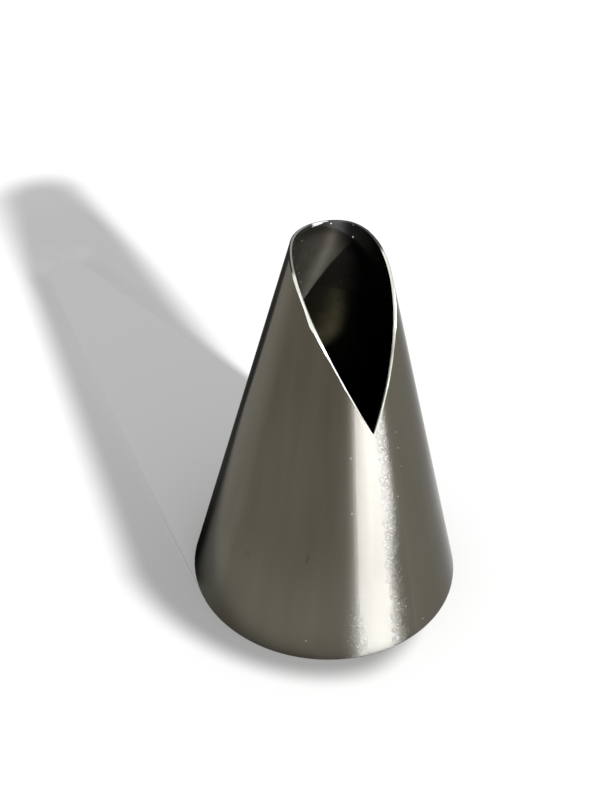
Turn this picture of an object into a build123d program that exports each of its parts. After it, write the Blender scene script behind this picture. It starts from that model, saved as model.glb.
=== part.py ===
from build123d import *
from math import atan2, cos, radians, sin
import os

# Piping nozzle with a teardrop mouth.
# The nozzle is one cone of thin stainless sheet, which stands on its wide foot with the mouth up.
# A curved cut runs down the front, from a level crown at the back of the tip to a pointed heel.
# The origin is the centre of the foot, +Z runs up the axis, and the mouth opens towards -Y.

# The cone: the diameters are those of its outer face, before any edge is rounded
foot_diameter = 35.0
tip_diameter = 10.55
height = 49.5
sheet = 0.35

# The mouth, seen from the side: its cut leaves the crown level and meets the wall at a shallow angle
mouth_length = 19.9
crown_flat = 0.9
heel_angle = 0.15
heel_lead_share = 0.66
crown_sweep_share = 0.3

# The edges: the foot is rounded on both sides, and the mouth is filed to a bevel outside and eased inside
foot_round = 0.12
bevel_width = 0.25
bevel_depth = 0.12
inner_round = 0.05

# The length by which the blank and the cut run past the faces that they trim
overrun = 2.0

foot_radius = foot_diameter / 2
tip_radius = tip_diameter / 2


def wall_radius(level):
    """The outer radius of the cone at a height above the foot."""
    return foot_radius - (foot_radius - tip_radius) * level / height


# The side view of the cut, in distances to the front and heights
heel_level = height - mouth_length
heel = Vector(wall_radius(heel_level), heel_level)
crown = Vector(crown_flat - tip_radius, height)
lean = atan2(foot_radius - tip_radius, height) + radians(heel_angle)
up_the_wall = Vector(-sin(lean), cos(lean))
heel_lead = heel_lead_share * mouth_length
crown_sweep = crown_sweep_share * (heel.X - crown.X)
below_heel = heel - up_the_wall * overrun
clear = foot_radius + overrun
roof = height + overrun

# The solid cone, longer than the nozzle at both ends and opened by the cut
with BuildPart() as form:
    with BuildSketch(Plane.YZ):
        Polygon(
            (0, -overrun),
            (wall_radius(-overrun), -overrun),
            (wall_radius(roof), roof),
            (0, roof),
            align=None,
        )
    revolve(axis=Axis.Z)
    with BuildSketch(Plane.YZ.rotated((0, 0, 180))):
        with BuildLine():
            Line(below_heel, heel)
            Bezier(
                heel,
                heel + up_the_wall * heel_lead,
                crown + Vector(crown_sweep, 0),
                crown,
            )
            Polyline(
                crown,
                (-clear, height),
                (-clear, roof),
                (clear, roof),
                (clear, below_heel.Y),
                below_heel,
            )
        make_face()
    extrude(amount=clear, both=True, mode=Mode.SUBTRACT)
skin = form.faces().filter_by(GeomType.CONE)[0]


def mouth_outline(wall):
    """The edges of a wall face that run round the mouth: all but its seam and its foot circle."""
    return wall.edges().filter_by(GeomType.LINE, reverse=True).sort_by(Axis.Z)[1:]


# The sheet: the skin is thickened inwards, so that the cut stays square to the wall all round
with BuildPart() as nozzle_shell:
    thicken(skin, amount=-sheet)
    split(bisect_by=Plane.XY, keep=Keep.TOP)

    foot_face = nozzle_shell.faces().sort_by(Axis.Z)[0]
    fillet(foot_face.edges(), foot_round)

    outer_wall = nozzle_shell.faces().filter_by(GeomType.CONE).sort_by(SortBy.AREA)[-1]
    chamfer(mouth_outline(outer_wall), bevel_width, bevel_depth, reference=outer_wall)
    inner_wall = nozzle_shell.faces().filter_by(GeomType.CONE).sort_by(SortBy.AREA)[-2]
    fillet(mouth_outline(inner_wall), inner_round)

nozzle_shell.part.label = "nozzle_shell"
os.makedirs("parts", exist_ok=True)
export_step(nozzle_shell.part, "parts/nozzle_shell.step")

box = nozzle_shell.part.bounding_box()
print(f"nozzle_shell: {box.size.X:.2f} x {box.size.Y:.2f} x {box.size.Z:.2f} mm")
print(f"volume {nozzle_shell.part.volume:.1f} mm3, valid {nozzle_shell.part.is_valid}")
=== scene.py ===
# %% [markdown]
# # A piping nozzle with a teardrop mouth
#
# The part is one cone of thin stainless steel sheet that presses petals and ruffles out of cream.
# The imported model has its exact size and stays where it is. This lesson builds a finer wall in the
# same place, with the marks that a file leaves round the mouth, and then the finishes, the light
# and the camera. Lengths are written in millimetres and turned into metres as they are used.

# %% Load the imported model
from math import acos, atan, atan2, cos, degrees, exp, hypot, pi, radians, sin, tan

import bmesh
import bpy
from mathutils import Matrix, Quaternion, Vector


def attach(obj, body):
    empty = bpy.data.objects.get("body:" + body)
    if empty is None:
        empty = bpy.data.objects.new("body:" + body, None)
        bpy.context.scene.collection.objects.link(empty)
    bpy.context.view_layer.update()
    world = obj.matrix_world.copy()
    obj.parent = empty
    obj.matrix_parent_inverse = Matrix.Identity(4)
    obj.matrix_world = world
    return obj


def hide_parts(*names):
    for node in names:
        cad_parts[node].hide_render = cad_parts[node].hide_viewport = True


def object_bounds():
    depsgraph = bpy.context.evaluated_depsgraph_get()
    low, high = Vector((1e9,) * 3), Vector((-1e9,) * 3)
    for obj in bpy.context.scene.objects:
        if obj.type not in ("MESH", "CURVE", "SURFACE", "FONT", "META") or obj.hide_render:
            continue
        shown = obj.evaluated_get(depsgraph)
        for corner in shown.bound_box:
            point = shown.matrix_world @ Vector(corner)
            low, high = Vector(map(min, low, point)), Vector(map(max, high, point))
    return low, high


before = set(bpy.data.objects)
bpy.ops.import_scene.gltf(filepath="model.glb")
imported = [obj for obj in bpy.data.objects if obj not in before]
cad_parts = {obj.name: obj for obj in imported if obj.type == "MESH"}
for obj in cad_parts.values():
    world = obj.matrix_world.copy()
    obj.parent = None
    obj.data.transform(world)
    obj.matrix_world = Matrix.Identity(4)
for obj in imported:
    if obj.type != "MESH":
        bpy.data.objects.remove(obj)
cad_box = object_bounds()
mm = 0.001
cad_size = (cad_box[1] - cad_box[0]) / mm
print(f"packed model: {cad_size.x:.2f} x {cad_size.y:.2f} x {cad_size.z:.2f} mm")

# %% [markdown]
# ## The camera
#
# The photograph looks down on the nozzle from its front left. A camera can be aimed by turning it by
# hand, but a place, a point to look at and a small roll are easier to read and to correct. The roll
# is there because the camera was held a little crooked.

# %% Camera
camera_place = Vector((-57.53, -99.41, 119.14)) * mm
camera_aim = Vector((-4.265, 0.0, 28.93)) * mm
camera_roll = radians(1.385)
camera_lens = 54.45
long_side_of_film = 36.0

camera_data = bpy.data.cameras.new("camera")
camera_data.lens = camera_lens
camera_data.sensor_width = long_side_of_film
camera_data.clip_start = 1 * mm
camera = bpy.data.objects.new("camera", camera_data)
camera.location = camera_place
camera.rotation_mode = "QUATERNION"
level_turn = (camera_aim - camera_place).to_track_quat("-Z", "Y")
camera.rotation_quaternion = level_turn @ Quaternion((0, 0, 1), camera_roll)
bpy.context.scene.collection.objects.link(camera)
bpy.context.scene.camera = camera
print(f"camera: {(camera_aim - camera_place).length / mm:.0f} mm from what it looks at")

# %% [markdown]
# ## The cone and the cut
#
# The real wall is a cone, and the mouth is a cut that runs down its front. Seen from the side the cut
# is one curve: it leaves the back of the rim level and meets the front wall at a very shallow angle.
# The sizes are those of the part's source, because the finer wall has to fill the same space.

# %% Sizes of the cone and of its cut
foot_diameter = 35.0
tip_diameter = 10.55
height = 49.5
sheet = 0.35
mouth_length = 19.9
crown_flat = 0.9
heel_angle = 0.15
heel_lead_share = 0.66
crown_sweep_share = 0.3

foot_radius = foot_diameter / 2
tip_radius = tip_diameter / 2
taper = (foot_radius - tip_radius) / height
lean = atan(taper)


def wall_radius(level):
    """The outer radius of the cone at a height above the foot."""
    return foot_radius - taper * level


heel_level = height - mouth_length
heel = Vector((wall_radius(heel_level), heel_level))
crown = Vector((crown_flat - tip_radius, height))
cut_lean = lean + radians(heel_angle)
heel_lead = heel + Vector((-sin(cut_lean), cos(cut_lean))) * heel_lead_share * mouth_length
crown_sweep = crown + Vector((crown_sweep_share * (heel.x - crown.x), 0))
print(f"cone: leans {degrees(lean):.2f} degrees, heel {heel_level:.1f} mm above the foot")

# %% [markdown]
# The side view gives the cut as distances to the front and heights. The wall needs it as a height for
# each angle round the axis. A point of the curve lies on the wall where its distance to the front is
# the radius times the cosine of the angle, so halving a span finds the point that belongs to an angle.

# %% Height of the cut at an angle
halvings = 40
shown_angles = (0, 30, 60, 90, 120)


def cut_point(share):
    """A point of the cut in the side view, by the share of the curve that is passed."""
    first = heel.lerp(heel_lead, share)
    middle = heel_lead.lerp(crown_sweep, share)
    last = crown_sweep.lerp(crown, share)
    return first.lerp(middle, share).lerp(middle.lerp(last, share), share)


def cut_angle(share):
    """The angle from the front at which a point of the cut meets the wall."""
    point = cut_point(share)
    return acos(max(-1.0, min(1.0, point.x / wall_radius(point.y))))


crown_angle = cut_angle(1.0)


def cut_level(angle):
    """The height of the cut at an angle from the front, the same on both sides."""
    angle = abs(angle)
    if angle >= crown_angle:
        return height
    low, high = 0.0, 1.0
    for _ in range(halvings):
        middle = (low + high) / 2
        if cut_angle(middle) < angle:
            low = middle
        else:
            high = middle
    return cut_point(low).y


for shown in shown_angles:
    print(f"cut at {shown} degrees from the front: {cut_level(radians(shown)):.1f} mm up")

# %% [markdown]
# ## The filed edge
#
# After the mouth is cut, its outer edge is filed by hand. The file leaves a narrow bevel that is never
# the same width for long: one spot on the left edge is ground too far, and the right edge was hardly
# touched for a stretch. A bevel operator gives one even width, so it is worked out for each angle.
#
# A hump is a place in degrees from the front, how far it reaches, and what it adds to the width. A wave
# is a share of the waver, how fast it swings in radians for each degree, and where it starts.

# %% Width of the filed bevel
bevel_width = 0.13
bevel_depth = 0.12
humps = (
    (-53.0, 5.0, 0.26),
    (-45.0, 6.0, 0.10),
    (29.0, 9.0, -0.09),
)
waver = 0.014
waves = (
    (1.0, 0.31, 1.0),
    (0.7, 0.83, 0.0),
    (0.5, 1.9, 2.0),
)
steepest = 0.6
slope_step = radians(0.25)
bevel_ends = 120


def hump(value, middle, reach):
    """A smooth hump of height one round a middle."""
    return exp(-(((value - middle) / reach) ** 2))


def filed_width(angle):
    """The width of the bevel on the wall, square to the cut, at an angle from the front."""
    place = degrees(angle)
    wavering = sum(share * sin(place * pace + start) for share, pace, start in waves)
    extra = sum(more * hump(place, middle, reach) for middle, reach, more in humps)
    return bevel_width + waver * wavering + extra


def filed_drop(angle):
    """How far down the wall the bevel reaches at an angle: more where the cut is steep."""
    side = radians(max(abs(degrees(angle)), steepest))
    rise = cut_level(side + slope_step) - cut_level(side - slope_step)
    run = 2 * slope_step * wall_radius(cut_level(side))
    return filed_width(angle) * hypot(1, rise / run)


widths = [filed_width(radians(place)) for place in range(-bevel_ends, bevel_ends + 1)]
print(f"filed bevel: {min(widths):.2f} to {max(widths):.2f} mm wide")

# %% [markdown]
# ## The wall
#
# A cone could come from create_cone, but then nothing would line up with the cut. Here one straight
# line is divided and spun about the axis. Each of its columns is then shortened to the height at which
# the cut meets it, so that the edge of the mouth is as fine as the columns are narrow. The lowest row
# stays under the floor, to be cut off level, and the next one stays clear of that cut.

# %% Spin the outer wall and shorten its columns
columns = 384
rows = 72
below_foot = 1.0
first_row = 0.7

shell = bmesh.new()
low_end = shell.verts.new((0, -wall_radius(-below_foot), -below_foot))
high_end = shell.verts.new((0, -wall_radius(height), height))
line = shell.edges.new((low_end, high_end))
bmesh.ops.subdivide_edges(shell, edges=[line], cuts=rows - 1)
line_levels = sorted(vert.co.z for vert in shell.verts)
bmesh.ops.spin(
    shell,
    geom=shell.verts[:] + shell.edges[:],
    axis=(0, 0, 1),
    cent=(0, 0, 0),
    angle=radians(360),
    steps=columns,
    use_merge=True,
)
bmesh.ops.recalc_face_normals(shell, faces=shell.faces[:])

row_step = line_levels[1] - line_levels[0]
rim_verts = []
for vert in shell.verts:
    angle = atan2(vert.co.x, -vert.co.y)
    row = round((vert.co.z + below_foot) / row_step)
    edge_level = cut_level(angle)
    if row == rows:
        vert.co.z = edge_level
        rim_verts.append(vert)
    elif row > 0:
        share = (row - 1) / (rows - 2)
        vert.co.z = first_row + share * (edge_level - filed_drop(angle) - first_row)
    radius = wall_radius(vert.co.z)
    vert.co.x = radius * sin(angle)
    vert.co.y = -radius * cos(angle)
print(f"outer wall: {len(shell.faces)} faces, {len(rim_verts)} points round the mouth")

# %% [markdown]
# The sheet is thickened inwards and square to the wall. An extrusion copies the wall and closes the gap
# along both edges, and the copy moves in by the thickness of the sheet along the cone's own normal,
# which is exact where an average of face normals isn't. Then the outer edge of the mouth moves in by
# the depth of the bevel, and a plane cuts the foot level.

# %% Thicken the wall and cut the foot
outer_material, inner_material, edge_material = 0, 1, 2


def inwards(vert, distance):
    """Moves a point towards the inside of the cone, square to the wall."""
    angle = atan2(vert.co.x, -vert.co.y)
    vert.co -= Vector((sin(angle) * cos(lean), -cos(angle) * cos(lean), sin(lean))) * distance


outer_faces = shell.faces[:]
copied = bmesh.ops.extrude_face_region(shell, geom=outer_faces)["geom"]
inner_verts = {item for item in copied if isinstance(item, bmesh.types.BMVert)}
inner_faces = {item for item in copied if isinstance(item, bmesh.types.BMFace)}
for vert in inner_verts:
    inwards(vert, sheet)
for vert in rim_verts:
    inwards(vert, bevel_depth)

rim_set = set(rim_verts)
cut_faces = set(shell.faces) - set(outer_faces) - inner_faces
for face in shell.faces:
    if face in inner_faces:
        face.material_index = inner_material
    elif face in cut_faces or rim_set.intersection(face.verts):
        face.material_index = edge_material
inner_edges = [
    edge
    for edge in {edge for face in cut_faces for edge in face.edges}
    if inner_verts.issuperset(edge.verts) and edge.verts[0].co.z > 0
]

bmesh.ops.bisect_plane(
    shell,
    geom=shell.verts[:] + shell.edges[:] + shell.faces[:],
    plane_co=(0, 0, 0),
    plane_no=(0, 0, 1),
    clear_inner=True,
)
foot_ring = bmesh.ops.bridge_loops(shell, edges=[edge for edge in shell.edges if edge.is_boundary])
for face in foot_ring["faces"]:
    face.material_index = outer_material
if shell.calc_volume(signed=True) < 0:
    bmesh.ops.reverse_faces(shell, faces=shell.faces[:])
open_edges = sum(edge.is_boundary for edge in shell.edges)
print(f"wall: {shell.calc_volume():.0f} cubic mm of steel, {open_edges} open edges")

# %% [markdown]
# A cut sheet is sharp enough to hurt, so its edges are eased. The foot is rounded on both sides, and the
# inner edge of the mouth by less. A bevel with a few segments does this. Its offset is the length that
# a round of that radius takes from each face, which is longer where the two faces meet at a sharper angle.

# %% Round the foot and ease the mouth
foot_round = 0.12
foot_segments = 4
inner_round = 0.05
inner_segments = 2
square_corner = 90
at_the_floor = foot_round / 10
lies_level = 0.9


def round_edges(edges, radius, corner, segments):
    """Rounds edges whose two faces meet at a corner of that many degrees."""
    bmesh.ops.bevel(
        shell,
        geom=edges,
        offset=radius / tan(radians(corner) / 2),
        offset_type="OFFSET",
        affect="EDGES",
        segments=segments,
        profile=0.5,
        material=-1,
        clamp_overlap=True,
    )


def distances(edge):
    """How far the two ends of an edge are from the axis."""
    return [hypot(*vert.co.xy) for vert in edge.verts]


low_edges = [edge for edge in shell.edges if max(abs(vert.co.z) for vert in edge.verts) < at_the_floor]
rings = [edge for edge in low_edges if not all(abs(face.normal.z) > lies_level for face in edge.link_faces)]
middle_radius = foot_radius - sheet / 2
outer_ring = [edge for edge in rings if min(distances(edge)) > middle_radius]
inner_ring = [edge for edge in rings if max(distances(edge)) < middle_radius]
round_edges(outer_ring, foot_round, square_corner - degrees(lean), foot_segments)
round_edges(inner_ring, foot_round, square_corner + degrees(lean), foot_segments)
round_edges(inner_edges, inner_round, square_corner, inner_segments)
print(f"rounded: {len(outer_ring)} outer, {len(inner_ring)} inner and {len(inner_edges)} mouth edges")

# %% [markdown]
# The wall is shaded smoothly, apart from real corners. Where two finishes meet, a smaller corner already
# counts, so that the shading of one doesn't run into the other. Then the wall becomes a piece: it stands
# for the imported node and rides on the one body that there is.

# %% Make the wall a piece
crease = radians(40)
seam_crease = radians(10)

for face in shell.faces:
    face.smooth = True
for edge in shell.edges:
    one_finish = len({face.material_index for face in edge.link_faces}) == 1
    edge.smooth = edge.calc_face_angle(0) < (crease if one_finish else seam_crease)
bmesh.ops.scale(shell, vec=(mm, mm, mm), verts=shell.verts[:])
wall_mesh = bpy.data.meshes.new("nozzle_wall")
shell.to_mesh(wall_mesh)
shell.free()
nozzle_wall = bpy.data.objects.new("nozzle_wall", wall_mesh)
bpy.context.scene.collection.objects.link(nozzle_wall)
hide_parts("nozzle_shell")
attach(nozzle_wall, "root")
triangles = sum(len(face.vertices) - 2 for face in wall_mesh.polygons)
print(f"nozzle_wall: {triangles} triangles")

# %% [markdown]
# ## Writing a finish
#
# A finish is a tree of nodes. Written node by node it hides the thought behind it, so two small classes
# turn it into sums: one wraps a socket and makes a Math node of every operator, and the other adds any
# other node, with its settings first and its sockets after them.

# %% Values and finishes
noise_middle = 0.5
one_layer, two_layers, three_layers = 1.0, 2.0, 3.0
even_layers, strong_layers = 0.5, 0.7
green_warmth = 0.3


class Value:
    """One socket of a node tree. Its operators add Math nodes to the tree."""

    def __init__(self, graph, socket):
        self.graph = graph
        self.socket = socket

    def math(self, operation, *others):
        return self.graph.math(operation, self, *others)

    def output(self, name):
        """Another output of the same node."""
        return Value(self.graph, self.graph.pick(self.socket.node.outputs, name))

    def __add__(self, other):
        return self.math("ADD", other)

    def __sub__(self, other):
        return self.math("SUBTRACT", other)

    def __rsub__(self, other):
        return self.graph.math("SUBTRACT", other, self)

    def __mul__(self, other):
        return self.math("MULTIPLY", other)

    def __truediv__(self, other):
        return self.math("DIVIDE", other)

    def __neg__(self):
        return self * -1

    __radd__ = __add__
    __rmul__ = __mul__


class Graph:
    """A node tree, and the one method that adds a node to it."""

    def __init__(self, owner):
        owner.use_nodes = True
        self.tree = owner.node_tree
        self.tree.nodes.clear()

    def pick(self, sockets, name):
        """A socket by number, or the one in use by name."""
        if isinstance(name, int):
            return sockets[name]
        return next(socket for socket in sockets if socket.name == name and socket.enabled)

    def add(self, kind, settings=None, inputs=None, output=0):
        """Adds a node: its settings first, then its sockets, and returns one of its outputs."""
        node = self.tree.nodes.new("ShaderNode" + kind)
        for name, setting in (settings or {}).items():
            setattr(node, name, setting)
        for name, value in (inputs or {}).items():
            socket = self.pick(node.inputs, name)
            if isinstance(value, Value):
                self.tree.links.new(value.socket, socket)
            else:
                socket.default_value = value
        if not node.outputs:
            return None
        return Value(self, self.pick(node.outputs, output))

    def math(self, operation, *terms):
        return self.add("Math", {"operation": operation}, dict(enumerate(terms)))

    def mix(self, share, first, second):
        """A colour that goes from the first to the second."""
        sockets = {"Factor": share, "A": first, "B": second}
        return self.add("Mix", {"data_type": "RGBA"}, sockets, "Result")

    def step(self, value, low, high, kind="SMOOTHSTEP"):
        """A smooth step from zero at the low value to one at the high value, or a straight one."""
        sockets = {"Value": value, "From Min": low, "From Max": high}
        return self.add("MapRange", {"interpolation_type": kind}, sockets, "Result")

    def noise(self, place, scale, layers=two_layers, strength=even_layers):
        """Soft noise between zero and one."""
        sockets = {"Vector": place, "Scale": scale, "Detail": layers, "Roughness": strength}
        return self.add("TexNoise", {}, sockets)

    def sway(self, *noise_values):
        """The same noise, about zero."""
        return self.noise(*noise_values) - noise_middle


def new_finish(name):
    """A material with an empty tree."""
    material = bpy.data.materials.new(name)
    return material, Graph(material)


def grey(level, warmth=0.0):
    """A grey with its blue lowered by a share, and its green by a part of that."""
    return (level, level * (1 - warmth * green_warmth), level * (1 - warmth), 1.0)


black = grey(0.0)
print("helpers: Value, Graph, new_finish and grey")

# %% [markdown]
# ## Places on the wall
#
# A mark on the steel has a place: so many degrees round from the front and so many millimetres up. The
# finishes work both out from the object's own coordinates, so a mark stays on the metal from any side
# and needs no unwrapped map. A mark is one in its middle and fades to zero at its edge.
#
# In the numbers that follow, a zone is a middle, how far it reaches, and the length over which it
# fades. A fade, or a pair of levels, is where a step is zero and where it is one.

# %% Places and marks
mark_core = 0.2
speck_core = 0.5


class Wall:
    """Places inside one finish, in degrees round the cone and in millimetres."""

    def __init__(self, graph):
        self.graph = graph
        metres = graph.add("TexCoord", output="Object")
        self.place = graph.add("VectorMath", {"operation": "SCALE"}, {"Vector": metres, "Scale": 1 / mm})
        apart = graph.add("SeparateXYZ", {}, {"Vector": self.place})
        self.x = apart
        self.y = apart.output("Y")
        self.up = apart.output("Z")
        self.around = degrees(1) * graph.math("ARCTAN2", self.x, -self.y)
        self.from_back = degrees(1) * graph.math("ARCTAN2", self.x, self.y)
        self.away = (self.x * self.x + self.y * self.y).math("SQRT")

    def near(self, value, middle, reach, fade):
        """One where a value is within reach of a middle, fading to zero over a further length."""
        gap = (value - middle).math("ABSOLUTE")
        return self.graph.step(gap, reach + fade, reach)

    def lines(self, sideways, upwards):
        """Noise drawn out along the wall's rings, as a turning tool leaves it."""
        sockets = {"Vector": self.place, "Scale": (sideways, sideways, upwards)}
        return self.graph.noise(self.graph.add("Mapping", {}, sockets), 1.0, three_layers)

    def mark(self, angle, level, length, width, tilt=0.0):
        """An oval mark at an angle and a height, as long and as wide as said, turned up by a tilt."""
        across = (self.around - angle) * radians(wall_radius(level))
        rise = self.up - level
        tilt = radians(tilt)
        along = across * cos(tilt) + rise * sin(tilt)
        aside = rise * cos(tilt) - across * sin(tilt)
        along = along * (2 / length)
        aside = aside * (2 / width)
        return self.graph.step(along * along + aside * aside, 1.0, mark_core)

    def specks(self, per_mm, share, size):
        """Small round specks at random places: how close, which share of them, and how large."""
        sockets = {"Vector": self.place, "Scale": per_mm}
        cell = self.graph.add("TexVoronoi", {}, sockets, "Distance")
        chance = self.graph.add("SeparateColor", {}, {"Color": cell.output("Color")}, "Red")
        chosen = chance.math("LESS_THAN", share)
        return self.graph.step(cell, size, size * speck_core) * chosen


print("helper: Wall")

# %% [markdown]
# ## Satin steel
#
# The sheet was polished on a turning mandrel, so fine lines run round it. Such lines spread a
# reflection up and down but not sideways, and turn a lamp into a tall stripe. The shader's anisotropy
# does that, turned by a quarter because the lines run round the axis.
#
# Seen aslant, satin steel gets closer to a mirror, which keeps the outline of the cone crisp. Layer
# Weight knows how aslant a face is seen, and lowers the roughness there. Bump heights are in
# millimetres, and the inside and the outside share this shader.

# %% Steel shader
satin_stretch = 0.85
lines_round = 0.25
edge_tint = 0.62
grazing_gloss = 0.45
grazing_fade = (0.35, 0.75)
grazing_blend = 0.5


def steel_shader(graph, colour, height_of_bump, metallic, roughness):
    """The one metal shader that the inside and the outside share, glossier where it is seen aslant."""
    aslant = graph.add("LayerWeight", {}, {"Blend": grazing_blend}, "Facing")
    roughness = roughness * (1 - grazing_gloss * graph.step(aslant, *grazing_fade))
    bump = graph.add("Bump", {}, {"Strength": 1.0, "Distance": mm, "Height": height_of_bump})
    shader = graph.add(
        "BsdfPrincipled",
        {},
        {
            "Base Color": colour,
            "Metallic": metallic,
            "Roughness": roughness,
            "Anisotropic": satin_stretch,
            "Anisotropic Rotation": lines_round,
            "Specular Tint": (edge_tint, edge_tint, edge_tint, 1),
            "Normal": bump,
        },
    )
    graph.add("OutputMaterial", {}, {"Surface": shader})


print("helper: steel_shader")

# %% [markdown]
# ## Colour of the outside
#
# The steel is a dark olive brown. Paler steel is painted on the far left, all over the right and
# towards the foot, as a painted reflection of brighter surroundings, and broad soft streaks run down it.
# One flat colour with a noise over it would look like paint, so a shaded and a lit copy of the steel are
# mixed by where a place is, and the streaks only shift that mix. Low on the left flank a paler patch is
# painted light, and the bright stripe is a touch dimmer to the right of a slanting line, which is painted
# shade.

# %% Colour of the outside
# A shaded and a lit copy of the steel, mixed by place as painted reflection.
olive_brown_painted_shade = (0.083, 0.0735, 0.0545, 1)
pale_steel_painted_light = (0.124, 0.1145, 0.0900, 1)
left_fade = (-66.0, -97.0)
right_fade = (-25.0, 5.0)
middle_share = 0.26
middle_fade = (26.0, 38.0)
foot_share = 0.7
foot_fade = (18.0, 2.0)
streak_share = 0.9
streaks_per_degree = 0.075
streaks_per_mm = 0.035
# Painted shade that darkens the right part of the bright stripe.
dim_share = 0.08
dim_line = -8.5
dim_slant = 0.233
dim_blur = 0.4
dim_end = (12.0, 6.0)
dim_levels = (8.0, 13.0)
# Painted light: a paler patch low on the left flank, where the steel mirrors shaded floor.
patch_colour = (0.155, 0.147, 0.118, 1)
patch_zone = (-100.0, 12.0, 10.0)
patch_levels = (15.0, 5.0)


def outside_colour(graph, wall):
    """Lit and shaded olive steel as painted reflection, with painted shade on the stripe and a paler patch
    of painted light.
    """
    sockets = {"X": wall.around * streaks_per_degree, "Y": wall.up * streaks_per_mm}
    streaks = graph.sway(graph.add("CombineXYZ", {}, sockets), 1.0)
    # Painted reflection: the steel is paler on the far left, on the right and towards the foot.
    left_side = graph.step(wall.around, *left_fade)
    right_side = graph.step(wall.around, *right_fade)
    low = middle_share + foot_share * graph.step(wall.up, *foot_fade)
    low = low - middle_share * graph.step(wall.up, *middle_fade)
    painted_light_share = left_side.math("MAXIMUM", right_side).math("MAXIMUM", low)
    colour = graph.mix(painted_light_share + streak_share * streaks, olive_brown_painted_shade, pale_steel_painted_light)
    # Painted shade: the stripe is darker to the right of a slanting line.
    past_line = graph.step(wall.around - dim_line - dim_slant * wall.up, -dim_blur, dim_blur)
    painted_stripe_dim = past_line * graph.step(wall.around, *dim_end) * graph.step(wall.up, *dim_levels)
    colour = graph.mix(dim_share * painted_stripe_dim, colour, black)
    # The paler patch low on the left is painted light.
    patch = wall.near(wall.around, *patch_zone) * graph.step(wall.up, *patch_levels)
    return graph.mix(patch, colour, patch_colour)


print("helper: outside_colour")

# %% [markdown]
# ## Grain and sparkle
#
# Under the lines lies a fine grain. It shows only where the bright stripe ends, along its right and low
# on its left, where it is coarser and breaks up into sparkle. A strong bump alone gives no sparkle: it
# turns the metal so often within one point of the picture that it averages to a plain grey. So the bump
# stays small there, and the sparkle is painted into the metal's colour: glints as painted highlight and
# pits as painted shade, both laid out by the same grain.

# %% Grain and sparkle
grain_per_mm = 4.8
fine_grain = 0.004
coarse_grain = 0.016
brushed_lines = 0.002
right_zone = (6.0, 1.5, 6.0)
left_zone = (-14.5, 1.0, 6.0)
left_zone_levels = (11.0, 2.0)
patchy_per_mm = 0.9
patchy_fade = (0.3, 0.7)
sparkle_layers = 1.5
# Painted sparkle: glints are painted highlight, pits are painted shade.
glint_fade = (0.56, 0.72)
glint_share = 0.42
painted_glint_colour = grey(0.55, 0.2)
pit_fade = (0.47, 0.32)
pit_share = 0.55
painted_pit_colour = grey(0.03, 0.2)


def coarse_zone(graph, wall):
    """One where the grain is coarse, in patches beside the bright stripe."""
    patchy = graph.step(graph.noise(wall.place, patchy_per_mm, one_layer), *patchy_fade)
    left = wall.near(wall.around, *left_zone) * graph.step(wall.up, *left_zone_levels)
    return wall.near(wall.around, *right_zone).math("MAXIMUM", left) * patchy


def sparkle(graph, wall, coarse, colour):
    """Lays the painted sparkle, light and dark specks of the grain, over a colour where the grain is
    coarse.
    """
    crystals = graph.noise(wall.place, grain_per_mm, sparkle_layers)
    painted_pits = graph.step(crystals, *pit_fade) * coarse
    painted_glints = graph.step(crystals, *glint_fade) * coarse
    colour = graph.mix(pit_share * painted_pits, colour, painted_pit_colour)
    return graph.mix(glint_share * painted_glints, colour, painted_glint_colour)


print("helpers: coarse_zone and sparkle")

# %% [markdown]
# ## Specks, smudges and scratches
#
# A nozzle that has been handled has a few marks. Most are loose and random, and come from a texture of
# random cells, of which only a small share is used. The bright ones crowd beside the stripe, where they
# are partly dust and partly painted glints. The largest ones are placed one by one, each with its angle
# and height, where the real one has them.

# %% Specks, smudges and scratches
# Bright specks: partly dust, and partly painted glints where they crowd beside the stripe.
loose_specks = (2.2, 0.05, 0.17)
loose_outside_zone = 0.15
loose_dark = (1.7, 0.025, 0.14)
loose_dark_share = 0.5
speck_share = 0.35
speck_and_glint_colour = grey(0.75, 0.1)
dark_colour = grey(0.03, 0.3)
# Angle, height and size
bright_specks_and_glints = (
    (-16.1, 27.3, 0.20),
    (-15.9, 20.2, 0.20),
    (17.6, 26.6, 0.26),
    (12.9, 20.5, 0.30),
    (10.1, 5.0, 0.34),
    (19.0, 1.5, 0.30),
    (17.7, 28.7, 0.22),
    (18.1, 24.1, 0.18),
    (-36.1, 2.6, 0.26),
)
# Angle, height, length, width, tilt and depth
dark_marks = (
    (-38.0, 14.1, 1.5, 0.45, 80.0, 0.30),
    (-70.5, 11.7, 1.3, 1.1, 0.0, 0.16),
    (-80.6, 10.9, 1.3, 0.25, -50.0, 0.30),
    (-85.4, 8.9, 0.9, 0.35, 80.0, 0.22),
    (-73.8, 2.6, 1.5, 0.25, -40.0, 0.25),
    (9.5, 6.9, 1.6, 0.12, 0.0, 0.25),
)


def placed_specks(wall, start, specks):
    """Adds specks at their places to a mask."""
    for angle, level, size in specks:
        start = start.math("MAXIMUM", wall.mark(angle, level, size, size))
    return start


def handled(graph, wall, coarse, colour):
    """Lays bright specks, some of them a painted glint, and dark marks over a colour."""
    loose = wall.specks(*loose_specks) * (loose_outside_zone + (1 - loose_outside_zone) * coarse)
    bright = placed_specks(wall, loose, bright_specks_and_glints)
    dark = wall.specks(*loose_dark) * loose_dark_share
    for *shape, depth in dark_marks:
        dark = dark.math("MAXIMUM", wall.mark(*shape) * depth)
    colour = graph.mix(speck_share * bright, colour, speck_and_glint_colour)
    return graph.mix(dark, colour, dark_colour)


print(f"marks: {len(bright_specks_and_glints)} placed specks and {len(dark_marks)} smudges and scratches")

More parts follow.
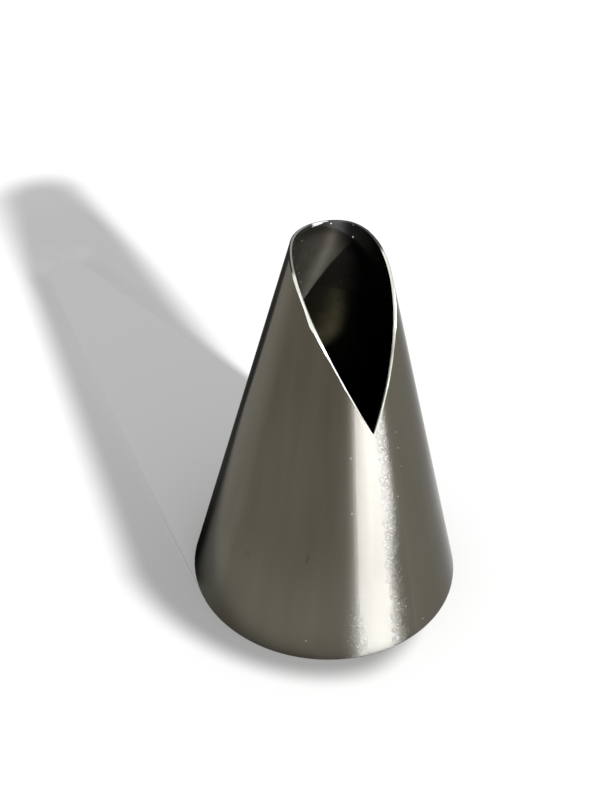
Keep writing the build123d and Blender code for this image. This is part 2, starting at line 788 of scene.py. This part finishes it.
# %% [markdown]
# ## The outside put together
#
# Left of the bright stripe the polish is duller, which draws the stripe out into a soft tail. Near the
# foot the stripe widens to the right, as if the wall weren't quite round there. That is too little for
# the solids, so the bump turns the metal by a few degrees over a narrow span.

# %% Satin steel outside
satin_roughness = 0.26
dull_roughness = 0.36
tail_zone = (-23.0, 7.0, 4.0)
coarse_dullness = 0.4
outside_lines = (0.3, 14.0)
bend_from, bend_to = 2.0, 14.0
bend_slope = tan(radians(4.9))
bend_levels = (22.0, 9.0)


def satin_outside():
    """The outer face: warm satin steel with grain, a few specks, smudges and scratches."""
    material, graph = new_finish("satin_steel_outside")
    wall = Wall(graph)
    coarse = coarse_zone(graph, wall)
    colour = outside_colour(graph, wall)
    colour = sparkle(graph, wall, coarse, colour)
    colour = handled(graph, wall, coarse, colour)

    grain = graph.sway(wall.place, grain_per_mm, two_layers, strong_layers)
    grain = grain * (fine_grain + coarse * (coarse_grain - fine_grain))
    bent = wall.around.math("MAXIMUM", bend_from).math("MINIMUM", bend_to)
    bend = radians(1) * bent * wall.away * bend_slope * graph.step(wall.up, *bend_levels)
    bumps = grain + wall.lines(*outside_lines) * brushed_lines - bend

    dull = wall.near(wall.around, *tail_zone).math("MAXIMUM", coarse_dullness * coarse)
    roughness = satin_roughness + (dull_roughness - satin_roughness) * dull
    steel_shader(graph, colour, bumps, 1.0, roughness)
    return material


wall_mesh.materials.append(satin_outside())
print("outside: warm satin steel")

# %% [markdown]
# ## Inside
#
# The right of the inner wall and the strip under the rim are painted dark, which is painted shade, and
# the file has left crumbs of bright metal near the mouth. Under the bright spot on the rim a ragged
# strip is painted white, a painted highlight that runs on from that spot.

# %% Stains and crumbs inside
inside_base = (0.105, 0.099, 0.082, 1)
inside_shade = (0.085, 0.078, 0.062, 1)
blotches_per_mm = 0.35
blotch_fade = (0.35, 0.65)
# Painted shade on the right of the inner wall and under the rim.
painted_shade_share = 0.94
painted_shade_fade = (25.0, 58.0)
painted_shade_shift = 10.0
painted_shade_shift_levels = (44.0, 47.5)
rim_painted_shade_share = 0.62
rim_painted_shade_levels = (47.0, 48.6)
crumb_specks = (2.4, 0.10, 0.15)
crumb_share = 0.7
crumb_colour = grey(0.8, 0.1)
# Angle, height and size
inner_specks = (
    (-161.0, 47.5, 0.3),
    (-153.0, 45.5, 0.2),
    (-163.9, 43.4, 0.2),
    (-169.1, 42.2, 0.2),
    (-174.3, 40.5, 0.2),
    (132.0, 47.3, 0.28),
    (160.0, 49.1, 0.22),
)
hot_spot_from_back = 4.3
# A painted highlight strip under the bright spot on the rim.
highlight_strip_zone = (hot_spot_from_back - 3.0, 5.0, 4.0)
highlight_strip_level = 49.12
highlight_strip_slant = 0.018
highlight_strip_ragged = 0.3
highlight_strip_ragged_per_mm = 3.0
highlight_strip_blur = 0.06


def inside_colour(graph, wall):
    """Duller steel with blotches, painted shade on the right and under the rim, crumbs of bright metal and
    a painted highlight strip.
    """
    blotch = graph.step(graph.noise(wall.place, blotches_per_mm), *blotch_fade)
    colour = graph.mix(blotch, inside_shade, inside_base)
    # Painted shade: the right of the inner wall and the strip under the rim go dark.
    turned = wall.from_back + painted_shade_shift * graph.step(wall.up, *painted_shade_shift_levels)
    colour = graph.mix(painted_shade_share * graph.step(turned, *painted_shade_fade), colour, black)
    colour = graph.mix(rim_painted_shade_share * graph.step(wall.up, *rim_painted_shade_levels), colour, black)
    crumbs = placed_specks(wall, wall.specks(*crumb_specks), inner_specks)
    colour = graph.mix(crumb_share * crumbs, colour, crumb_colour)
    # Painted highlight: a ragged white strip under the bright spot on the rim.
    ragged = highlight_strip_ragged * graph.sway(wall.place, highlight_strip_ragged_per_mm)
    above = wall.up - (highlight_strip_level + highlight_strip_slant * wall.from_back + ragged)
    painted_highlight_strip = wall.near(wall.from_back, *highlight_strip_zone) * graph.step(above, -highlight_strip_blur, highlight_strip_blur)
    return graph.mix(painted_highlight_strip, colour, grey(1.0))


print(f"inside: {len(inner_specks)} placed specks")

# %% [markdown]
# Nobody polishes the inside. It is a little duller than the outside, so a part of it is not mirror but
# matt, and its lines run in a slight screw where the reamer was drawn out. The screw slants what the
# back wall mirrors, and one sloping sum in the bump does it.

# %% Satin steel inside
inside_metallic = 0.62
inside_roughness = 0.42
inside_lines = (0.5, 9.0)
twist_start = 38.6
twist_per_mm = 0.044


def satin_inside():
    """The inner face: duller steel whose lines run in a slight screw."""
    material, graph = new_finish("satin_steel_inside")
    wall = Wall(graph)
    grain = graph.noise(wall.place, grain_per_mm, two_layers, strong_layers)
    above = (wall.up - twist_start).math("MAXIMUM", 0.0)
    twist = radians(1) * wall.from_back * wall.away * above * -twist_per_mm
    bumps = grain * fine_grain + wall.lines(*inside_lines) * brushed_lines + twist
    steel_shader(graph, inside_colour(graph, wall), bumps, inside_metallic, inside_roughness)
    return material


wall_mesh.materials.append(satin_inside())
print(f"inside: {inside_metallic:.2f} metallic, the rest matt")

# %% [markdown]
# ## The ground edge
#
# Down both sides of the mouth the file has left bare, bright metal. It never reached the back of the
# rim, where the edge keeps the darker finish of the sheet and is darkened further by painted shade, and
# its cut face is painted lighter on the left. One small bright spot there is a painted highlight. So the
# edge has two colours, which change with the angle, and a third one in the depth of the sheet: on the
# right the bevel at the outside is darker than the cut face.

# %% Ground edge
front_zone = (0.0, 82.0, 8.0)
face_fade = (bevel_depth * 0.8, bevel_depth * 1.3)
file_marks_per_mm = 6.0
ground_dull = (0.62, 0.62, 0.545, 1)
ground_bright = (0.84, 0.84, 0.75, 1)
right_bevel_fade = (45.0, 65.0)
right_bevel_colour = grey(0.45, 0.05)
# The back of the rim: the sheet's darker finish with painted shade, and painted light on the left face.
bevel_skin_and_shade = grey(0.02, 0.1)
face_skin_and_shade = grey(0.07, 0.1)
left_skin_and_light = grey(0.26, 0.1)
left_skin_fade = (0.0, -30.0)
hot_spot_zone = (hot_spot_from_back, 9.0, 4.0)
inner_half_fade = (0.17, 0.23)
ground_roughness = 0.45


def ground_edge():
    """The cut face and its bevel: bright along the sides of the mouth, dark round the back."""
    material, graph = new_finish("ground_steel_edge")
    wall = Wall(graph)
    depth = (foot_radius - taper * wall.up - wall.away) * cos(lean)
    face = graph.step(depth, *face_fade)
    ground = graph.mix(graph.noise(wall.place, file_marks_per_mm), ground_dull, ground_bright)
    right_bevel = (1 - face) * graph.step(wall.around, *right_bevel_fade)
    ground = graph.mix(right_bevel, ground, right_bevel_colour)
    # Painted shade darkens the back of the rim, and painted light lifts its cut face on the left.
    left_side = graph.step(wall.from_back, *left_skin_fade)
    skin_with_light_and_shade = graph.mix(face, bevel_skin_and_shade, face_skin_and_shade)
    skin_with_light_and_shade = graph.mix(face * left_side, skin_with_light_and_shade, left_skin_and_light)
    colour = graph.mix(wall.near(wall.around, *front_zone), skin_with_light_and_shade, ground)
    # The hot spot is a painted highlight.
    hot_spot = wall.near(wall.from_back, *hot_spot_zone) * graph.step(depth, *inner_half_fade)
    colour = graph.mix(hot_spot, colour, grey(1.0))
    sockets = {"Base Color": colour, "Metallic": 1.0, "Roughness": ground_roughness}
    graph.add("OutputMaterial", {}, {"Surface": graph.add("BsdfPrincipled", {}, sockets)})
    return material


wall_mesh.materials.append(ground_edge())
print("finishes:", [material.name for material in wall_mesh.materials])

# %% [markdown]
# ## The floor and its shade
#
# The nozzle stands on a plain white floor. One lamp, the key, stands low in front and throws a long
# shadow towards the back. In the photograph the shadow is wider than this nozzle can throw with it, and
# its edge is soft. A second lamp would give a second outline inside the first. So the floor's own
# colour is darkened in a soft shape round the real shadow, by just as much as the lamp adds there.
# Inside the real shadow it stays white.
#
# Behind the nozzle the shape tapers straight from a near radius to a round far end. Towards the front
# it is a flat oval.

# %% Outline of the shade
shade_middle = -3.8
shade_near, shade_far = 9.0, 110.2
near_radius, far_radius = 20.75, 8.3
shade_front = 28.4
shade_squareness = 1.8
shade_tighter = 0.6
shade_blur = 2.8
shade_far_blur = 2.2
shade_far_blur_fade = (80.0, 115.0)
shade_right_fade = (9.5, 2.5)


def shade_mask(graph, wall):
    """One inside the soft shape round the shadow, and zero outside it."""
    share = graph.step(wall.y, shade_near, shade_far, "LINEAR")
    radius = near_radius + share * (far_radius - near_radius)
    before = (shade_near - wall.y).math("MAXIMUM", 0.0)
    beyond = (wall.y - shade_far).math("MAXIMUM", 0.0)
    beside = wall.x - shade_middle
    reach = (beside * beside + beyond * beyond).math("SQRT") / radius
    power = reach.math("POWER", shade_squareness)
    power = power + (before / shade_front).math("POWER", shade_squareness)
    gap = (power.math("POWER", 1 / shade_squareness) - 1) * (radius + shade_tighter * before)
    soft = shade_blur + shade_far_blur * graph.step(wall.y, *shade_far_blur_fade)
    return graph.step(gap / soft, 1.0, -1.0) * graph.step(wall.x, *shade_right_fade)


print(f"shade: {shade_far + far_radius:.0f} mm long, {2 * near_radius:.1f} mm wide")

# %% [markdown]
# The floor also has to know how much of the key lamp reaches it past the nozzle. The shadow of a cone
# is the foot's circle, the tip's circle and their two common tangents. The lamp is a disc, so across
# the edge of the shadow its uncovered part grows as the area of a circle cut by a line, which takes an
# arcsine. The blur of the edge widens with the distance from what throws it.

# %% What the key lamp gives the floor
key_share = 0.56
key_azimuth = 5.5
key_elevation = 30.0
key_spread = 2.4
shadow_length = height / tan(radians(key_elevation))
shadow_pinch = (foot_radius - tip_radius) / shadow_length
shadow_trim = 0.25
shadow_trim_fade = (50.0, 90.0)
least_blur = 0.02
blur_growth = 0.0249
never_zero = 0.1
foot_contact = (2.2, 1.6)


def lamp_light(graph, wall):
    """How much the key lamp adds to the floor, to match the shadow that it throws there."""
    turn = radians(key_azimuth)
    along = wall.y * cos(turn) - wall.x * sin(turn)
    aside = (wall.x * cos(turn) + wall.y * sin(turn)).math("ABSOLUTE") * cos(atan(shadow_pinch))
    over = (along - shadow_length).math("MAXIMUM", 0.0)
    past = (aside * aside + over * over).math("SQRT") - foot_radius
    past = past + along.math("MINIMUM", shadow_length) * shadow_pinch
    past = past + shadow_trim * graph.step(along, *shadow_trim_fade)
    round_end = 1 + over / (over + aside + never_zero)
    blur = least_blur + (along * blur_growth).math("MAXIMUM", 0.0) * round_end
    across = (past / blur).math("MAXIMUM", -1.0).math("MINIMUM", 1.0)
    chord = (1 - across * across).math("MAXIMUM", 0.0).math("SQRT")
    uncovered = 1 / 2 + (across * chord + across.math("ARCSINE")) / pi
    return key_share * uncovered.math("MAXIMUM", graph.step(along, *foot_contact))


print(f"shadow: {shadow_length + tip_radius:.0f} mm long")

# %% [markdown]
# What is left of the light in the shade is darker close to the nozzle, which hides a part of the sky, so
# that level rises with the distance behind. The floor is so large that its edge is never in sight.

# %% Floor
floor_half = 4000
floor_colour = 0.8
under_near = 0.36
under_more = 0.125
under_fade = (5.0, 75.0, "LINEAR")
under_end = 0.05
under_end_fade = (98.0, 118.0)


def white_floor():
    """Matt white, darkened in the shade by what the key lamp adds."""
    material, graph = new_finish("white_floor")
    wall = Wall(graph)
    light = lamp_light(graph, wall)
    under = under_near + under_more * graph.step(wall.y, *under_fade)
    under = under + under_end * graph.step(wall.y, *under_end_fade)
    kept = 1 - shade_mask(graph, wall) * light / (under + light)
    colour = graph.mix(kept, black, grey(floor_colour))
    graph.add("OutputMaterial", {}, {"Surface": graph.add("BsdfDiffuse", {}, {"Color": colour})})
    return material


floor_form = bmesh.new()
bmesh.ops.create_grid(floor_form, x_segments=1, y_segments=1, size=floor_half * mm)
floor_mesh = bpy.data.meshes.new("floor")
floor_form.to_mesh(floor_mesh)
floor_form.free()
floor_mesh.materials.append(white_floor())
floor = bpy.data.objects.new("floor", floor_mesh)
bpy.context.scene.collection.objects.link(floor)
print(f"floor: {2 * floor_half * mm:.0f} m wide, white")

# %% [markdown]
# ## The sky
#
# About half of the light on the floor comes from a dim white sky. The camera and the reflections see it
# as full white, so that the background is white and the steel mirrors the same white.

# %% Sky
shade_level = 0.50
sky_light = shade_level / floor_colour

world = bpy.data.worlds.new("sky")
bpy.context.scene.world = world
sky_graph = Graph(world)
path = sky_graph.add("LightPath", output="Is Camera Ray")
seen = path.math("MAXIMUM", path.output("Is Glossy Ray"))
seen = seen.math("MAXIMUM", path.output("Is Transmission Ray"))
strength = sky_light + seen * (1 - sky_light)
sky = sky_graph.add("Background", {}, {"Color": grey(1.0), "Strength": strength})
sky_graph.add("OutputWorld", {}, {"Surface": sky})
bpy.context.scene.view_settings.view_transform = "Standard"
print(f"sky: {sky_light:.2f} on the object")

# %% [markdown]
# ## The lamps
#
# The light on the steel and the shadow on the floor don't come from one place in the photograph. One
# lamp for both would put the stripe and the shadow where only one of them can be right. So each lamp
# lights either the floor or the nozzle, by light linking, and the nozzle throws its shadow in all.

# %% Lamps that are aimed at the axis


def from_front(azimuth, elevation):
    """A unit vector towards the front, turned round the axis and raised."""
    azimuth, elevation = radians(azimuth), radians(elevation)
    return Vector((sin(azimuth) * cos(elevation), -cos(azimuth) * cos(elevation), sin(elevation)))


def add_lamp(name, kind, place, energy, lit, blockers):
    """A lamp that shines at the axis from a place, lights one object and is blocked by some."""
    data = bpy.data.lights.new(name, kind)
    data.energy = energy
    lamp = bpy.data.objects.new(name, data)
    lamp.location = place
    lamp.rotation_mode = "QUATERNION"
    lamp.rotation_quaternion = place.to_track_quat("Z", "Y")
    lamp.visible_camera = False
    bpy.context.scene.collection.objects.link(lamp)
    lamp.light_linking.receiver_collection = bpy.data.collections.new(name + "_lights")
    lamp.light_linking.receiver_collection.objects.link(lit)
    lamp.light_linking.blocker_collection = bpy.data.collections.new(name + "_blockers")
    for blocker in blockers:
        lamp.light_linking.blocker_collection.objects.link(blocker)
    return lamp


print("helpers: from_front and add_lamp")

# %% [markdown]
# ## A plug and a card
#
# The inside of the mouth is nearly black in the photograph, where a bright sky would fill it with
# reflections from wall to wall. A plug of black paper fills the cone up to a slanting plane just below
# the mouth, so that the walls mirror the paper and not each other. No camera sees it.

# %% Paper plug
plug_gap = 0.4
plug_segments = 96
plug_below_heel = 1.0


def black_paper():
    """Matt black."""
    material, graph = new_finish("black_paper")
    graph.add("OutputMaterial", {}, {"Surface": graph.add("BsdfDiffuse", {}, {"Color": black})})
    return material


def add_card(name, form, material):
    """A black card or plug in the studio, which no camera sees."""
    mesh = bpy.data.meshes.new(name)
    form.to_mesh(mesh)
    form.free()
    mesh.materials.append(material)
    card = bpy.data.objects.new(name, mesh)
    bpy.context.scene.collection.objects.link(card)
    card.visible_camera = False
    card.visible_diffuse = False
    card.visible_transmission = False
    print(f"{name}: {len(mesh.polygons)} faces")
    return card


plug_form = bmesh.new()
bmesh.ops.create_cone(
    plug_form,
    cap_ends=True,
    segments=plug_segments,
    radius1=(foot_radius - sheet - plug_gap) * mm,
    radius2=(tip_radius - sheet - plug_gap) * mm,
    depth=(height - 2 * plug_gap) * mm,
)
bmesh.ops.translate(plug_form, vec=(0, 0, height / 2 * mm), verts=plug_form.verts[:])
mouth_slope = Vector((heel.x - crown.x, crown.y - heel.y))
bmesh.ops.bisect_plane(
    plug_form,
    geom=plug_form.verts[:] + plug_form.edges[:] + plug_form.faces[:],
    plane_co=(0, -heel.x * mm, (heel.y - plug_below_heel) * mm),
    plane_no=(0, -mouth_slope.y, mouth_slope.x),
    clear_outer=True,
)
bmesh.ops.holes_fill(plug_form, edges=[edge for edge in plug_form.edges if edge.is_boundary])
plug = add_card("paper_plug", plug_form, black_paper())

# %% [markdown]
# The left edge of the cone is a narrow dark line, which mirrors something dark behind the nozzle. A
# black card does that, as a painted shadow that only reflections see: it lies on the floor behind the
# cone, where the nozzle's shadow falls, and turns up at its far end.
# Its outline is drawn by its material, clear or black, because a soft edge in the reflection needs a
# soft edge on the card. It throws no shadow, so the floor stays as it is.

# %% Black card
card_near, card_far = 2.0, 90.0
card_lift, card_tall = 0.05, 110.0
card_left, card_wide = -40.0, 70.0
card_edge_fade = (-21.2, -16.6)
card_spread = 0.4
card_spread_from = 50.0
card_foot_shift = 0.8
card_foot_fade = (30.0, 5.0)
card_start_fade = (2.0, 5.0)
card_density = 0.84
card_denser = 0.14
card_denser_fade = (30.0, 12.0)
card_slant = 0.62
card_slant_blur = 3.0


def soft_card():
    """Black in the middle of the card and clear at its edges."""
    material, graph = new_finish("painted_shadow_card")
    wall = Wall(graph)
    spread_out = card_spread * (wall.y - card_spread_from).math("MAXIMUM", 0.0)
    near_foot = card_foot_shift * graph.step(wall.y, *card_foot_fade)
    dark = graph.step(wall.x + spread_out - near_foot, *card_edge_fade)
    dark = dark * graph.step(wall.y, *card_start_fade)
    dark = dark * (card_density + card_denser * graph.step(wall.y, *card_denser_fade))
    dark = dark * graph.step(card_slant * wall.y - wall.x, -card_slant_blur, card_slant_blur)
    shut = graph.add("BsdfDiffuse", {}, {"Color": black})
    clear = graph.add("BsdfTransparent")
    shader = graph.add("MixShader", {}, {0: dark, 1: clear, 2: shut})
    graph.add("OutputMaterial", {}, {"Surface": shader})
    return material


card_form = bmesh.new()
card_places = ((0, card_near, card_lift), (0, card_far, card_lift), (0, card_far, card_tall))
card_line = [card_form.verts.new(place) for place in card_places]
card_edges = [card_form.edges.new(pair) for pair in zip(card_line, card_line[1:])]
spread = bmesh.ops.extrude_edge_only(card_form, edges=card_edges)["geom"]
far_side = [item for item in spread if isinstance(item, bmesh.types.BMVert)]
bmesh.ops.translate(card_form, vec=(card_wide, 0, 0), verts=far_side)
bmesh.ops.translate(card_form, vec=(card_left, 0, 0), verts=card_form.verts[:])
bmesh.ops.scale(card_form, vec=(mm, mm, mm), verts=card_form.verts[:])
card = add_card("painted_shadow_card", card_form, soft_card())
card.visible_shadow = False

# %% [markdown]
# A faint greenish glow lies on the inner wall. It seems to be light that fell in through the mouth and
# came back from deep inside. The black plug stops such light, so a small spot lamp inside the cone
# stands in for it, aimed at the place.

# %% Glow inside
glow_place = Vector((1.32, 3.52, 21.3)) * mm
glow_aim = Vector((0.1, 9.1, 32.6)) * mm
glow_power = 0.0008
glow_cone = 58
glow_size = 0.5
glow_colour = (1.0, 0.97, 0.62)

glow = add_lamp("glow", "SPOT", glow_place, glow_power, nozzle_wall, [nozzle_wall])
glow.rotation_quaternion = (glow_place - glow_aim).to_track_quat("Z", "Y")
glow.data.spot_size = radians(glow_cone)
glow.data.spot_blend = 1.0
glow.data.shadow_soft_size = glow_size * mm
glow.data.color = glow_colour
print(f"glow: {glow_power * 1000:.1f} mW")

# %% [markdown]
# The key lamp draws the shadow on the floor. It is as strong as it takes to lift the floor from its
# level in the shade to white. The second lamp stands further to the right and shines into the mouth. It
# lights the top of the back wall, and the edge of the mouth draws a slanting shadow across it.

# %% Key and spot
spot_azimuth = 19.0
spot_elevation = 16.0
spot_spread = 1.2
spot_power = 3.0

key_energy = key_share / floor_colour * pi / sin(radians(key_elevation))
key = add_lamp("key", "SUN", from_front(key_azimuth, key_elevation), key_energy, floor, [nozzle_wall])
key.data.angle = radians(key_spread)
spot_place = from_front(spot_azimuth, spot_elevation)
spot = add_lamp("spot", "SUN", spot_place, spot_power, nozzle_wall, [nozzle_wall])
spot.data.angle = radians(spot_spread)
print(f"lamps: key {key_energy:.1f}, spot {spot_power:.1f}")

# %% [markdown]
# ## The panels
#
# The tall bright stripe is the mirror image of a wide panel in front. Its width sets where the stripe
# begins and ends, so it is given as angles seen from the nozzle. Seen from above, the wall mirrors what
# is low, so the panel reaches below the level of the floor. Light linking allows that, because the
# panel lights the nozzle only. A second, weaker panel gives the back a narrow stripe of its own.
#
# The renderer finds a lamp in two ways, by aiming at it and by meeting it on a mirrored ray, and shares
# the light between them. A mirrored ray that goes down meets the floor before it meets the panel, and
# that share is lost. With multiple importance sampling off, all of the light comes by aiming.

# %% Panels
panel_distance = 900
panel_colour = (0.84, 0.905, 1.115)
# Azimuth, elevation, half width and half height in degrees, and radiance
panels = {
    "front_panel": (19.0, -13.0, 20.0, 17.0, 10.8),
    "back_panel": (159.0, 8.0, 7.0, 20.0, 3.0),
}

for name, (azimuth, elevation, half_turn, half_rise, radiance) in panels.items():
    wide = 2 * panel_distance * tan(radians(half_turn)) * mm
    tall = 2 * panel_distance * tan(radians(half_rise)) * mm
    panel_place = from_front(azimuth, elevation) * panel_distance * mm
    panel_energy = radiance * pi * wide * tall
    panel = add_lamp(name, "AREA", panel_place, panel_energy, nozzle_wall, [nozzle_wall, plug])
    panel.data.shape = "RECTANGLE"
    panel.data.size = wide
    panel.data.size_y = tall
    panel.data.color = panel_colour
    panel.data.cycles.use_multiple_importance_sampling = False
    print(f"{name}: {wide:.2f} x {tall:.2f} m, {panel_energy:.1f} W")
